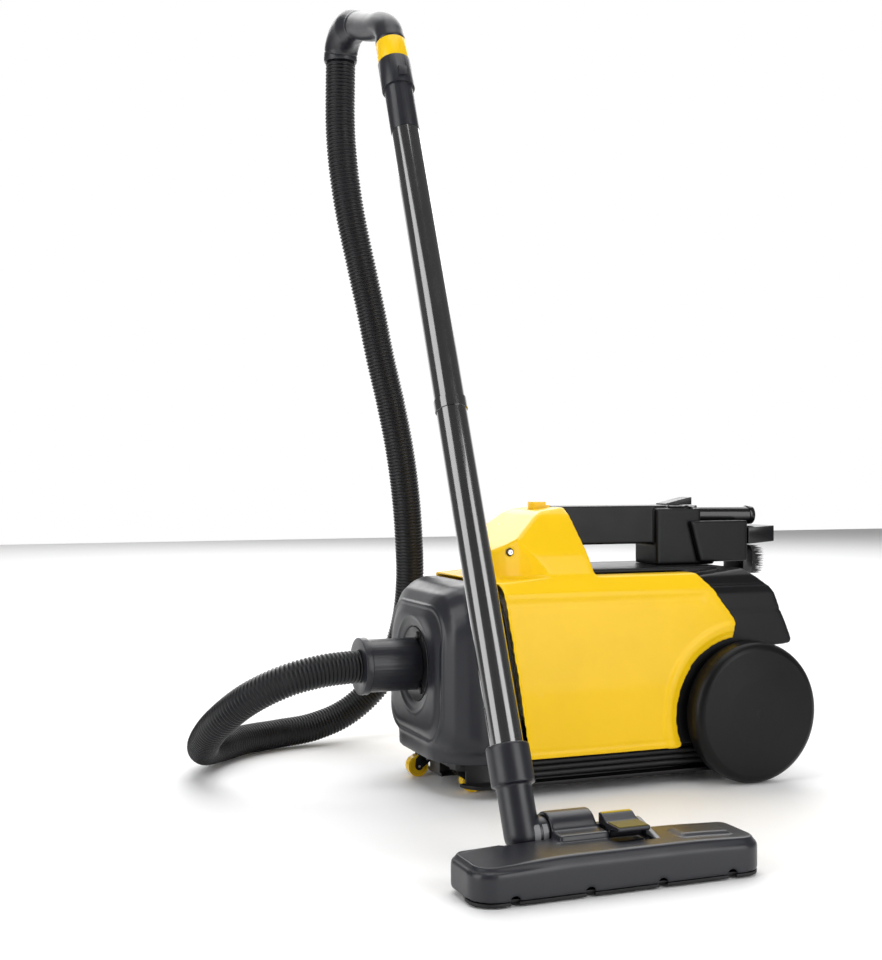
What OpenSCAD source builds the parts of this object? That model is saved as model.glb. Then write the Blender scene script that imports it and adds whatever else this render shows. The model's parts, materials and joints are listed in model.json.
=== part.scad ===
// Canister vacuum cleaner with a floor head, two wands, a hose and tools on board.
// Units are millimetres, +Z is up and the floor is at z = 0. The canister's front faces -Y.
// The origin lies on the floor, below the middle of the whole object's box.

/* [Canister] */
// Half width of the yellow shell at its widest
shell_half = 118; // [112:0.5:119]
// Height of the shell's shoulder, where the sides turn in to the top
shoulder_z = 234; // [228:1:238]
// Height of the closed top of the shell
deck_z = 250; // [249:0.5:251]
// Height of the top of the hood and of the carry grip
hood_z = 332; // [328:1:336]
// Wall of the moulded shells
wall = 3; // [2:0.5:3.5]
// Gap under the base plate
base_z = 13; // [10:1:14]

/* [Wheels] */
// Radius of a rear wheel
wheel_r = 85; // [80:1:86]
// Width of a rear wheel
wheel_w = 28; // [24:1:28]
// Radius of the steel axle
axle_r = 4; // [3:0.5:5]
// Distance of the axle behind the canister's zero line
axle_y = 352; // [346:1:354]
// Radius of a castor wheel
castor_r = 13; // [12:0.5:13]
// Distance from a castor's stem back to its wheel
castor_trail = 15; // [12:1:16]

/* [Inlet and hose] */
// Height of the inlet's centre
inlet_z = 146; // [140:1:150]
// Outside diameter of the hose
hose_d = 39; // [36:0.5:40]
// Inside diameter of the hose
hose_bore = 33; // [30:0.5:34]

/* [Wand] */
// Outside diameter of the wand tubes
wand_d = 32; // [31:0.5:32]
// Lean of the wand from upright, in degrees
wand_lean = 23.5; // [15:0.5:30]
// Where the lower wand ends, measured along the wand from the neck's pivot
wand_joint = 448; // [430:1:460]
// Where the upper wand ends, measured along the wand from the neck's pivot
wand_top = 787; // [770:1:800]

/* [Floor head] */
// Length of the floor head
head_l = 292; // [280:1:300]
// Depth of the floor head, front to back
head_w = 70; // [66:1:72]
// Height of the floor head's crest
head_h = 38; // [36:1:40]

/* [Hidden] */
$fn = 64;

// The canister's zero line and the head's centre in the shared frame.
canister_x = -126.5;
canister_y = -151.75;
head_x = 296.5;
head_y = -153.25;
// The neck's pivot, seen from the head's centre.
neck_x = -45;
neck_y = -67;
neck_z = 38;

gap = 0.3;              // clearance between moulded pieces
fit = 0.05;             // radial clearance of a running fit
yellow = "#f2c31c";
black = "#1b1b1f";
charcoal = "#3a3b41";
steel = "#b9bcc0";
grey = "#8b8d92";
rubber = "#222226";
card = "#b89568";
paper = "#e6e1d2";
copper = "#b4703c";
foam = "#5b5f66";

// The seam between the door and the shell leans forward towards its top.
seam_low = [59, 47];
seam_top = [31, 229];
seam_slope = (seam_top[0] - seam_low[0]) / (seam_top[1] - seam_low[1]);
function seam_y(z) = seam_low[0] + (z - seam_low[1]) * seam_slope;

door_front = -38;       // the door's front face
door_top = deck_z - 5;
recess_r = 56;
ring_r = 44;
cuff_r = 31;
spigot_r = 25;
cuff_end = -104;

core_half = 90;         // the base's core, which the cord winds round
core_front = 48;
core_rear = 371;
shelf_rear = 31;        // the castor shelf ends short of the cord's front turns
channel_low = base_z + 4;
channel_top = 45;
flange_top = 48;
sill_z = 44;            // the yellow shell's lower edge
arch_y = 345;           // the middle of the shell's wheel arches
cord_d = 6.6;
cord_pitch = 6.8;

motor_z = 150;
castor_x = 50;
castor_y = 3;
hinge_y = -24;
hinge_z = 42;
hinge_pin_r = 2;
hinge_eye_r = 4.6;

tool_z = 318;           // the crevice tool's axis
brush_z = 270;          // the dusting brush's axis

// Points on an arc, from angle a0 to a1.
function arc(c, r, a0, a1, n = 8) =
    [for (i = [0:n]) c + r * [cos(a0 + (a1 - a0) * i / n), sin(a0 + (a1 - a0) * i / n)]];
function rounded(x0, x1, y0, y1, r) = concat(
    arc([x1 - r, y1 - r], r, 0, 90), arc([x0 + r, y1 - r], r, 90, 180),
    arc([x0 + r, y0 + r], r, 180, 270), arc([x1 - r, y0 + r], r, 270, 360));

module plate(x0, x1, y0, y1, r, z0, z1) {
    translate([0, 0, z0]) linear_extrude(z1 - z0) polygon(rounded(x0, x1, y0, y1, r));
}
// A block given by its two corners.
module block(a, b) {
    translate(a) cube(b - a);
}
// A cylinder along Y from y0 to y1.
module rod_y(x, z, r, y0, y1) {
    translate([x, y0, z]) rotate([-90, 0, 0]) cylinder(r = r, h = y1 - y0);
}
// A cylinder along X from x0 to x1.
module rod_x(y, z, r, x0, x1) {
    translate([x0, y, z]) rotate([0, 90, 0]) cylinder(r = r, h = x1 - x0);
}
// A side outline in the Y-Z plane, drawn across the canister from -half to half.
module side_slab(points, half) {
    translate([-half, 0, 0]) rotate([90, 0, 90]) linear_extrude(2 * half) polygon(points);
}
// An outline across the canister in the X-Z plane, drawn from y0 to y1.
module cross_slab(points, y0, y1) {
    translate([0, y1, 0]) rotate([90, 0, 0]) linear_extrude(y1 - y0) polygon(points);
}
module both_sides() {
    children();
    mirror([1, 0, 0]) children();
}
module on_canister() {
    translate([canister_x, canister_y, 0]) children();
}
module on_head() {
    translate([head_x, head_y, 0]) children();
}
// The wand's own frame: its axis is +Z and the neck's pivot is the origin.
module on_wand() {
    on_head() translate([neck_x, neck_y, neck_z]) rotate([0, -wand_lean, 0]) children();
}
module tube(r_out, r_in, z0, z1) {
    translate([0, 0, z0]) difference() {
        cylinder(r = r_out, h = z1 - z0);
        translate([0, 0, -1]) cylinder(r = r_in, h = z1 - z0 + 2);
    }
}

// ---- canister shells ----

// Half of the shell's outline across, moved in by t.
function shell_side(t) = [
    [shell_half - 2 - t, sill_z], [shell_half - t, 120], [shell_half - 6 - t, shoulder_z - t / 2],
    [shell_half - 23 - t, deck_z + 2 - t]];
function mirrored(p) = [for (i = [len(p) - 1:-1:0]) [-p[i][0], p[i][1]]];
function shell_outline(t) = concat(shell_side(t), mirrored(shell_side(t)));
function hood_side(t) = [
    [95 - t, 240], [93 - t, 256], [84 - t, 277], [52 - t, hood_z - 10 - t], [40 - t, hood_z - t]];
function hood_outline(t) = concat(hood_side(t), mirrored(hood_side(t)));

// The hood's outline from the side. Its rear edge leans and carries the grip.
hood_rear_low = [161, 246];
hood_rear_slope = -16 / 86;
function hood_rear(z) = hood_rear_low[0] + (z - hood_rear_low[1]) * hood_rear_slope;
function hood_profile(t) = [
    [seam_y(240) + 4 + t, 240], [46 + t, 277 - t / 2], [102 + t, hood_z - 9 - t], [112, hood_z - 4 - t],
    [hood_rear(hood_z) - t, hood_z - t], [hood_rear(240) - t, 240]];
deck_dip = 90;          // the deck slopes down from here to the door
// The shell's outline from the side: seam, sill, wheel arch and the slanted rear edge.
function shell_profile(t) = concat(
    [[seam_y(sill_z) + 3.5 + t, sill_z], [262, sill_z]],
    arc([arch_y, wheel_r], 88, 205, 95, 10),
    [[341, 194], [297, deck_z + 2 - t], [deck_dip, deck_z + 2 - t], [seam_y(deck_z) + 3.5 + t, deck_z - 3 - t]]);

// The hood's solid form, moved in by t. Its front is rounded when seen from above.
module hood_form(t) {
    intersection() {
        side_slab(hood_profile(t), 100);
        cross_slab(hood_outline(t), -20, 200);
        plate(-97 + t, 97 - t, 46 + t, 300, 80 - t, 230, hood_z + 10);
    }
}

hood_screw = [62, 280];
latch_y = 130;
latch_half = 11;
latch_seat = 296;
latch_foot = 307.8;

module main_shell() on_canister() color(yellow) {
    difference() {
        union() {
            intersection() {
                side_slab(shell_profile(0), 130);
                cross_slab(shell_outline(0), -20, 400);
            }
            hood_form(0);
        }
        // the hollow of the body and of the hood
        intersection() {
            side_slab([[20, 40], [400, 40], [400, deck_z + 2 - wall], [deck_dip, deck_z + 2 - wall],
                [20, deck_z - 4 - wall]], 130);
            cross_slab(shell_outline(wall), -20, 400);
        }
        hood_form(wall);
        // the window in the top that the black deck fills
        block([-70, 165, deck_z - 6], [70, 320, deck_z + 6]);
        // openings for the latch and for the two hood screws
        block([-9.5, latch_y - latch_half - 0.5, hood_z - 30], [9.5, latch_y + latch_half + 0.5, hood_z + 10]);
        both_sides() rod_x(hood_screw[0], hood_screw[1], 3.2, 50, 120);
        // the grip's two fixing tongues pass through the hood's rear wall
        both_sides() block([7, 140, 292], [15, 165, 300]);
        // room for the axle's line behind the arch
        both_sides() rod_x(axle_y, wheel_r, 20, 100, 130);
    }
    // the bar inside the hood that the latch's spring stands on
    intersection() {
        block([-80, latch_y - 7, latch_seat - 3], [80, latch_y + 7, latch_seat]);
        cross_slab(hood_outline(0.5), 90, 160);
    }
}

module shell_screws() on_canister() color(steel) {
    both_sides() difference() {
        rod_x(hood_screw[0], hood_screw[1], 3, 55, 66);
        rod_x(hood_screw[0], hood_screw[1], 1.4, 64.5, 67);
    }
}

module lower_housing() on_canister() color(black) {
    base_rear = core_rear + 14;
    difference() {
        union() {
            // bottom plate, core and the flange above the cord channel
            plate(-106, 106, -8, base_rear, 30, base_z, channel_low);
            plate(-core_half, core_half, core_front, core_rear, 30, base_z, channel_top + 1);
            plate(-106, 106, 64, base_rear, 26, channel_top, flange_top);
            // tub wall inside the shell
            plate(-107, 107, 66, 372, 24, flange_top - 1, 74);
            // shelf above the castors and the pillars that carry it clear of the wound cord
            plate(-84, 84, -12, shelf_rear, 10, 31.5, 40);
            block([-16, -8, base_z], [16, shelf_rear, 40]);
            both_sides() block([81, -2, base_z], [84, shelf_rear, 40]);
            // cheeks that carry the axle
            both_sides() block([96, 300, 60], [106, 384, 114]);
            // lugs that carry the door's hinge pins
            both_sides() {
                rod_x(hinge_y, hinge_z, hinge_eye_r, 13, 18);
                block([13, hinge_y, hinge_z - 9], [18, -6, hinge_z + hinge_eye_r]);
            }
            // boss that holds the root of the cord's strain relief
            block([gland_root[0] - 4, 350, 30], [gland_root[0] + 8, core_rear - 1, channel_top + 1]);
        }
        // hollow of the tub
        plate(-core_half + wall, core_half - wall, core_front + wall, core_rear - wall, 27, base_z + wall, 80);
        plate(-104, 104, 69, 369, 21, flange_top, 80);
        both_sides() block([90, 306, 74], [97, 384, 120]);
        // wells that the castors turn in
        both_sides() translate([castor_x, castor_y, base_z - 1]) cylinder(r = 30, h = 19.5);
        both_sides() translate([castor_x, castor_y, 25]) cylinder(r = 4 + fit, h = 20);
        // axle and hinge pin bores
        rod_x(axle_y, wheel_r, axle_r, -120, 120);
        rod_x(hinge_y, hinge_z, hinge_pin_r, -110, 110);
        // pocket that the mains lead's strain relief lies in
        block([14, 352, 34.5], [gland_root[0] - 4, core_rear + 1, channel_top]);
        block([-20, 366, 36], [15, core_rear + 1, channel_top]);
        gland_form(0);
    }
    // cradles for the motor's two rubber mounts
    difference() {
        union() {
            block([-78, 224, base_z + wall], [78, 236, 140]);
            block([-70, 322, base_z + wall], [70, 334, 130]);
        }
        rod_y(0, motor_z, 66.3, 220, 240);
        rod_y(0, motor_z, 52.3, 318, 340);
    }
}

function rear_profile(t) = [
    [236 + t, flange_top + 0.6], [236 + t, 110], [282 + t, deck_z - 8 - t], [300 + t, deck_z - 2.2 - t],
    [372 - t, deck_z + 5 - t], [398 - t, 233 - t / 2], [424 - t, 169 + t / 2], [423 - t, 162 + t],
    [390 - t, 160 + t], [388 - t, 154], [388 - t, flange_top + 0.6]];
function rear_side(t) = [
    [112 - t, flange_top + 0.6], [113 - t, 120], [108 - t, 226], [92 - t, deck_z - 3.5 - t / 2],
    [80 - t, deck_z + 5 - t]];
function rear_outline(t) = concat(rear_side(t), mirrored(rear_side(t)));

module rear_housing() on_canister() color(black) {
    difference() {
        union() {
            intersection() {
                side_slab(rear_profile(0), 120);
                cross_slab(rear_outline(0), 200, 440);
            }
            block([-66, 166.5, deck_z + 0.4], [66, 345.5, deck_z + 7]);
            block([-66, 166.5, deck_z - 5], [66, 170, deck_z + 1]);
        }
        intersection() {
            side_slab(concat([[220, 40], [220, 60], [239, 110], [285, deck_z - 11]],
                [for (p = rear_profile(wall)) if (p[0] > 300) p], [[385, 40]]), 120);
            cross_slab(concat([[109, 40]], [for (p = rear_outline(wall)) p], [[-109, 40]]), 200, 440);
        }
        // the axle and its cheeks pass inside; the wheels' hubs come close outside
        rod_x(axle_y, wheel_r, 15, -120, 120);
        // room for the motor
        rod_y(0, motor_z, 68, 200, 362);
        // window for the exhaust grille
        block([-52, 370, 66], [52, 395, 152]);
        // holes for the grip's post and the caddy's screws
        for (y = [292, 330]) {
            translate([0, y, deck_z - 10]) cylinder(r = 2.2, h = 30);
        }
    }
}

module carry_grip() on_canister() color(black) {
    front = function(z) hood_rear(z) + gap;
    difference() {
        union() {
            // the bar, with a thin leg that follows the hood's rear edge
            side_slab([[front(hood_z), hood_z], [front(284), 284], [296, 284], [296, hood_z]], 20);
            side_slab([[front(285), 285], [front(258), 258], [front(258) + 5, 258], [front(285) + 6, 285]], 24);
            // the post at the rear
            block([-28, 281, deck_z + 7.4], [28, 345, hood_z - 4]);
            block([-20, 290, hood_z - 8], [20, 345, hood_z]);
            both_sides() block([7.3, 143, 292.3], [14.7, 160, 299.7]);
        }
        // hollow for the crevice tool's blade, open at the rear
        rod_y(0, tool_z, 11 + gap, 268, 350);
        // pocket for the switch
        block([13, 303, 299], [26, 335, hood_z + 1]);
        // pocket for the switch's two terminals
        block([15.5, 309, 290.5], [20.5, 330, 300]);
        // pocket that the rocker sinks into
        block([-12.5, 300, hood_z - 1.8], [27, 343, hood_z + 1]);
        // screw holes up from the deck
        for (y = [292, 330]) {
            translate([0, y, deck_z]) cylinder(r = 1.8, h = 30);
        }
    }
}

module switch_body() on_canister() color(charcoal) {
    block([14, 304, 300], [25.5, 334, hood_z - 5]);
    block([17, 311, 292], [19, 317, 300.5]);
    block([17, 322, 292], [19, 328, 300.5]);
}

// The rocker turns on a small rod below its middle and rises to a finger ramp at its rear.
module power_switch() on_canister() color(black) {
    side_slab([[303, hood_z + 0.4], [341, hood_z + 0.4], [341, hood_z + 10], [334, hood_z + 9], [303, hood_z + 2]], 12);
    rod_x(322, hood_z + 1, 1.6, -12.2, 12.2);
}

module tool_caddy() on_canister() color(black) {
    difference() {
        union() {
            block([-36, 346, deck_z + 10], [36, 410, 312]);
            both_sides() side_slab_at(28.4, 36, [[340, deck_z + 10], [346.5, deck_z + 10], [346.5, 312], [326, 312]]);
            block([-18, 346, deck_z + 5.6], [18, 371, deck_z + 11]);
        }
        // the crevice tool's trough, the nozzle's slot and the brush's socket
        rod_y(0, tool_z, 11 + gap, 340, 420);
        block([-30, 362, 284.4], [30, 420, 302.6]);
        rod_y(0, brush_z, 9 + gap, 358, 420);
    }
}
// A side outline drawn from x0 to x1.
module side_slab_at(x0, x1, points) {
    translate([x0, 0, 0]) rotate([90, 0, 90]) linear_extrude(x1 - x0) polygon(points);
}

// ---- front door and inlet ----

// A rounded outline of the door, standing at depth y.
module door_slice(half, z0, z1, r_low, r_top, y, thick = 1) {
    translate([0, y + thick, 0]) rotate([90, 0, 0]) linear_extrude(thick) polygon(concat(
        arc([half - r_top, z1 - r_top], r_top, 0, 90, 6), arc([-half + r_top, z1 - r_top], r_top, 90, 180, 6),
        arc([-half + r_low, z0 + r_low], r_low, 180, 270, 6), arc([half - r_low, z0 + r_low], r_low, 270, 360, 6)));
}
// The door's solid form, moved in by t all round. It is closed by the leaning seam at the rear.
module door_form(t) {
    difference() {
        hull() {
            door_slice(112 - t, 49 + t, door_top - t, 20, 46, 62);
            door_slice(112 - t, 49 + t, door_top - t, 20, 46, 6);
            door_slice(108 - t, 50 + t, door_top - 4 - t, 24, 50, -8 + t);
            door_slice(99 - t, 53 + t, door_top - 12 - t, 26, 52, -23 + t);
            door_slice(84 - t, 60 + t, door_top - 27 - t, 28, 50, -33 + t);
            door_slice(72 - t, 70 + t, door_top - 39 - t, 28, 44, door_front + t);
        }
        side_slab([[seam_y(0), 0], [seam_y(300), 300], [200, 300], [200, 0]], 130);
    }
}

// The door's skirt, which hides the castor shelf and carries the hinge's ears.
apron_front = door_front + 4;
apron_half = 104;
apron_r = 60;
module door_apron() {
    difference() {
        intersection() {
            plate(-apron_half, apron_half, apron_front, 100, apron_r, 38, 62);
            block([-120, -60, 0], [120, 20, 70]);
        }
        plate(-apron_half + wall, apron_half - wall, apron_front + wall, 100, apron_r - wall, 30, 70);
    }
}

module front_door() on_canister() color(charcoal) {
    difference() {
        union() {
            difference() {
                door_form(0);
                translate([0, 0.05, 0]) door_form(wall);
                side_slab([[seam_y(40) - 8, 40], [seam_y(300) - 8, 300], [seam_y(300) + 1, 300],
                    [seam_y(40) + 1, 40]], 108.5);
            }
            rod_y(0, inlet_z, recess_r + 3, door_front, -18);
            door_apron();
            // ears that turn on the hinge pins
            both_sides() {
                rod_x(hinge_y, hinge_z, hinge_eye_r, 6, 12.7);
                block([6, apron_front + 1, hinge_z - 3], [12.7, hinge_y, hinge_z + hinge_eye_r]);
            }
        }
        // stepped recess and the hole for the inlet ring
        rod_y(0, inlet_z, recess_r, door_front - 5, door_front + 3);
        rod_y(0, inlet_z, ring_r + gap, door_front - 5, door_front + 8);
        rod_y(0, inlet_z, 33 + gap, door_front - 5, 0);
        rod_x(hinge_y, hinge_z, hinge_pin_r + fit, -100, 100);
    }
}

module door_hinge_pins() on_canister() color(steel) {
    both_sides() rod_x(hinge_y, hinge_z, hinge_pin_r, 5, 19);
}

module door_seal() on_canister() color(rubber) {
    seal = function(t) [[seam_y(66) + 0.4 + t, 66], [seam_y(241) + 0.4 + t, 241]];
    difference() {
        intersection() {
            side_slab(concat(seal(0), [seal(2.6)[1], seal(2.6)[0]]), 109);
            door_slice(109, 66, 241, 10, 42, 0, 80);
        }
        door_slice(105, 70, 237, 8, 38, -1, 90);
    }
}

module inlet_ring() on_canister() color(black) {
    face = door_front + 4;
    difference() {
        union() {
            rod_y(0, inlet_z, ring_r, face, door_front + 7.7);
            rod_y(0, inlet_z, 33, face, -14);
            for (a = [20, 140, 260]) {
                translate([37 * sin(a), face, inlet_z + 37 * cos(a)]) rotate([90, 0, 0]) cylinder(r = 5, h = 3);
            }
        }
        rod_y(0, inlet_z, spigot_r + fit, face - 2, 0);
    }
}

module hose_cuff() on_canister() color(charcoal) {
    difference() {
        union() {
            rod_y(0, inlet_z, cuff_r, cuff_end, door_front + 3.5);
            rod_y(0, inlet_z, cuff_r + 2.5, cuff_end, cuff_end + 9);
            rod_y(0, inlet_z, spigot_r, door_front, 6);
        }
        rod_y(0, inlet_z, hose_d / 2 - 1.5, cuff_end - 1, 10);
    }
}

// ---- latch ----

module door_latch() on_canister() color(yellow) {
    front = latch_y - latch_half;
    rear = latch_y + latch_half;
    block([-9, front, latch_foot], [9, rear - 6, hood_z + 5.5]);
    block([-9, rear - 7, latch_foot], [9, rear, hood_z + 1.5]);
    block([-12, front + 1, latch_foot], [12, rear - 1, latch_foot + 8]);
}

module latch_spring() on_canister() color(steel) {
    translate([0, latch_y, latch_seat + 0.1]) tube(5, 4, 0, latch_foot - latch_seat - 0.2);
}

// ---- bag chamber ----

module dust_bag() on_canister() color(paper) {
    hull() {
        door_slice(40, inlet_z - 40, inlet_z + 40, 20, 20, 20, 2);
        door_slice(86, 78, 228, 30, 30, 70, 2);
        door_slice(84, 80, 226, 30, 30, 150, 2);
        door_slice(50, 100, 200, 30, 30, 178, 2);
    }
}

module bag_collar() on_canister() color(card) {
    difference() {
        door_slice(54, inlet_z - 54, inlet_z + 54, 10, 10, 14, 3);
        rod_y(0, inlet_z, spigot_r + 1, 10, 20);
    }
}

module motor_filter() on_canister() color(foam) {
    door_slice(48, motor_z - 48, motor_z + 48, 8, 8, 188, 9);
}

module filter_grille() on_canister() color(charcoal) {
    difference() {
        door_slice(103, 78, deck_z - 8, 12, 12, 200, 4);
        for (i = [-3:3]) {
            block([-38, 195, motor_z + i * 11 - 3], [38, 210, motor_z + i * 11 + 3]);
        }
    }
}

// ---- motor ----

module fan_shroud() on_canister() color(steel) {
    difference() {
        rod_y(0, motor_z, 60, 212, 252);
        rod_y(0, motor_z, 57, 215, 249);
        rod_y(0, motor_z, 18, 210, 220);
        rod_y(0, motor_z, 30, 245, 255);
    }
}

module fan() on_canister() color("#c9ccd0") {
    difference() {
        union() {
            rod_y(0, motor_z, 54, 218, 219.5);
            rod_y(0, motor_z, 54, 243, 245);
            rod_y(0, motor_z, 9, 218, 245);
            for (i = [0:6]) {
                translate([0, 219, motor_z]) rotate([0, i * 360 / 7, 0]) block([18, 0, -1], [53.5, 24.5, 1]);
            }
        }
        rod_y(0, motor_z, 17, 217, 219.6);
        rod_y(0, motor_z, axle_r, 217, 247);
    }
    rod_ring(17.1, axle_r, 219.5, 221);
}
// A flat ring round the motor's axis.
module rod_ring(r_out, r_in, y0, y1) {
    difference() {
        rod_y(0, motor_z, r_out, y0, y1);
        rod_y(0, motor_z, r_in, y0 - 1, y1 + 1);
    }
}

module motor_frame() on_canister() color(steel) {
    difference() {
        rod_y(0, motor_z, 46, 252.2, 346);
        rod_y(0, motor_z, 43.5, 256, 343);
        rod_y(0, motor_z, 9, 250, 350);
        for (a = [0:45:315]) {
            rotate_about_motor(a) block([-6, 330, 20], [6, 350, 36]);
        }
        both_sides() block([29.7, 321, motor_z - 4.4], [50, 331, motor_z + 4.4]);
    }
    difference() {
        union() {
            rod_y(0, motor_z, 15, 252.2, 264);
            rod_y(0, motor_z, 15, 335, 346);
        }
        rod_y(0, motor_z, 11, 256, 343);
        rod_y(0, motor_z, 6, 250, 350);
    }
}
module rotate_about_motor(a) {
    translate([0, 0, motor_z]) rotate([0, a, 0]) children();
}

module stator() on_canister() color(copper) {
    rod_ring(43.4, 26, 272, 316);
}

module armature() on_canister() color(copper) {
    rod_y(0, motor_z, axle_r, 216, 345);
    rod_ring(25.2, axle_r - 1, 274, 314);
    rod_ring(12.6, axle_r - 1, 320, 332);
}

module bearings() on_canister() color(steel) {
    rod_ring(10.9, axle_r + fit, 256.1, 263.1);
    rod_ring(10.9, axle_r + fit, 335.9, 342.9);
}

module carbon_brushes() on_canister() color(charcoal) {
    both_sides() block([13, 322, motor_z - 4], [42, 330, motor_z + 4]);
}

module motor_mounts() on_canister() color(rubber) {
    rod_ring(66.1, 60.1, 225, 235);
    rod_ring(52.1, 46.1, 323, 333);
}

// ---- exhaust ----

module exhaust_filter() on_canister() color(foam) {
    block([-48, 373, 70], [48, 383, 148]);
}

module exhaust_grille() on_canister() color(black) {
    port_z = 109;
    difference() {
        union() {
            block([-51.6, 385, 66.4], [51.6, 388, 151.6]);
            rod_y(0, port_z, 21, 385, 404);
        }
        rod_y(0, port_z, 17.5, 380, 410);
        for (i = [-1:1]) {
            both_sides() block([27, 380, port_z + i * 22 - 6], [47, 390, port_z + i * 22 + 6]);
        }
    }
}

// ---- mains lead, wound in the base's channel ----

lead_bend = 22;                     // the corner radius that the turns follow
lead_top = 41.1;                    // height of the uppermost row
layer_turns = 3;
gland_root = [60, 360, lead_top];
gland_tip = [30, 369.2, lead_top];
plug_mouth = [-114.5, 154, 26];

// One station of turn t: four corners of three stations each, seen from above anticlockwise.
function lead_height(u) = lead_top - cord_pitch * (u < layer_turns ? u : 2 * layer_turns - u);
function lead_station(t, i) =
    let (corner = floor(i / 3), a = 90 + 90 * corner + 45 * (i % 3),
        offset = cord_d / 2 + 0.1 + (t < layer_turns ? 0 : cord_pitch),
        side_x = (corner == 0 || corner == 1) ? -1 : 1,
        middle_y = (corner == 0 || corner == 3) ? core_rear - lead_bend : core_front + lead_bend)
    [side_x * (core_half - lead_bend) + (lead_bend + offset) * cos(a),
        middle_y + (lead_bend + offset) * sin(a), lead_height(t + i / 12)];
lead_line = concat(
    [gland_tip, [12, 373, lead_top], [-12, 374.4, lead_top]],
    [for (t = [0:2 * layer_turns - 1]) for (i = [0:11]) lead_station(t, i)],
    [[-70, 381.2, lead_top - 0.2], [-88, 375, lead_top - 0.3], [-99.2, 360, lead_top - 0.4],
        [-103, 320, 40], [-108, 262, 38], [-112.5, 210, 32], [-114.5, 178, 26.8], plug_mouth]);
lead_start = (gland_tip - gland_root) / norm(gland_tip - gland_root);

module power_cord() on_canister() color(rubber) {
    swept_tube(lead_line, cord_d / 2, 0, lead_start, [0, -1, 0]);
}

module gland_form(extra) {
    along = gland_tip - gland_root;
    translate(gland_root) rotate([0, 0, atan2(along[1], along[0])]) rotate([0, 90, 0])
        cylinder(r1 = 5 + extra, r2 = 3.9 + extra, h = norm(along));
}
module cord_gland() on_canister() color(rubber) {
    gland_form(0);
}

module plug() on_canister() color(rubber) {
    block([-122, 120, 19], [-107, 153.9, 33]);
    for (z = [22.5, 29]) {
        block([-119, 102, z - 0.8], [-113, 120, z + 0.8]);
    }
}

// ---- running gear ----

module rear_axle() on_canister() color(steel) {
    rod_x(axle_y, wheel_r, axle_r, -139, 139);
}

module axle_clips() on_canister() color(steel) {
    both_sides() difference() {
        rod_x(axle_y, wheel_r, 8, 107, 109);
        rod_x(axle_y, wheel_r, axle_r, 100, 112);
    }
}

wheel_in = 121;
// One wheel on the +X side. Its face is slightly crowned and its shoulder is round.
module wheel() {
    round_r = 13;
    out = wheel_w;
    profile = concat(
        [[axle_r + fit, -7], [12, -7], [12, 0], [14, out - 8], [wheel_r - 12, out - 10], [wheel_r - 6, out - 16],
            [wheel_r - 4, 0], [wheel_r, 0]],
        arc([wheel_r - round_r, out - 2 - round_r], round_r, 0, 75),
        [[40, out - 0.6], [0, out], [0, out - 9], [axle_r + fit, out - 9]]);
    translate([wheel_in, axle_y, wheel_r]) rotate([0, 90, 0]) rotate_extrude() polygon(profile);
}
module wheel_right() on_canister() color(black) {
    wheel();
}
module wheel_left() on_canister() color(black) {
    mirror([1, 0, 0]) wheel();
}

// A castor in its own frame: the stem is the Z axis and the wheel trails towards +Y.
module castor_fork() {
    difference() {
        union() {
            translate([0, 0, 27.5]) cylinder(r = 11, h = 3.7);
            translate([0, 0, 30]) cylinder(r = 4, h = 10);
            both_sides() side_slab_at(6.2, 8.4, concat([[-8, 31], [-4, 22]],
                arc([castor_trail, castor_r], 5, 200, 360, 6), [[castor_trail + 4, 22], [9, 31]]));
        }
        rod_x(castor_trail, castor_r, 1.5, -10, 10);
    }
}
module castor_wheel() {
    difference() {
        rod_x(castor_trail, castor_r, castor_r, -5.8, 5.8);
        rod_x(castor_trail, castor_r, 1.5 + fit, -7, 7);
        both_sides() difference() {
            rod_x(castor_trail, castor_r, castor_r - 3, 4.6, 7);
            rod_x(castor_trail, castor_r, 4, 4, 8);
        }
    }
}
module castor_pin() {
    rod_x(castor_trail, castor_r, 1.5, -9, 9);
}
// The right castor trails to the rear and the left one to the front.
module at_right_castor() {
    on_canister() translate([castor_x, castor_y, 0]) children();
}
module at_left_castor() {
    on_canister() translate([-castor_x, castor_y, 0]) rotate([0, 0, 180]) children();
}
module castor_fork_right() at_right_castor() color(black) castor_fork();
module castor_fork_left() at_left_castor() color(black) castor_fork();
module castor_wheel_right() at_right_castor() color(yellow) castor_wheel();
module castor_wheel_left() at_left_castor() color(yellow) castor_wheel();
module castor_pin_right() at_right_castor() color(steel) castor_pin();
module castor_pin_left() at_left_castor() color(steel) castor_pin();

// ---- tools on board ----

module crevice_tool() on_canister() color(black) {
    difference() {
        union() {
            rod_y(0, tool_z, 11, 320, 434);
            rod_y(0, tool_z, 12.2, 431, 438);
            intersection() {
                rod_y(0, tool_z, 10.5, 275, 321);
                block([-11, 270, tool_z - 5], [11, 330, tool_z + 5]);
            }
        }
        rod_y(0, tool_z, 8.5, 322, 440);
        block([-7, 270, tool_z - 3], [7, 325, tool_z + 3]);
    }
}

module upholstery_nozzle() on_canister() color(black) {
    difference() {
        union() {
            block([-29.4, 364, 285], [29.4, 412, 302]);
            side_slab([[412, 281.6], [412, 303], [451, 305], [451, 284.6]], 35);
        }
        block([-26, 380, 288], [26, 452, 299]);
    }
}

module dusting_brush() on_canister() color(black) {
    difference() {
        union() {
            rod_y(0, brush_z, 9, 362, 413);
            plate_xz(-23, 23, 240, 280, 12, 412, 426);
        }
        rod_y(0, brush_z, 7, 360, 430);
    }
}
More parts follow.
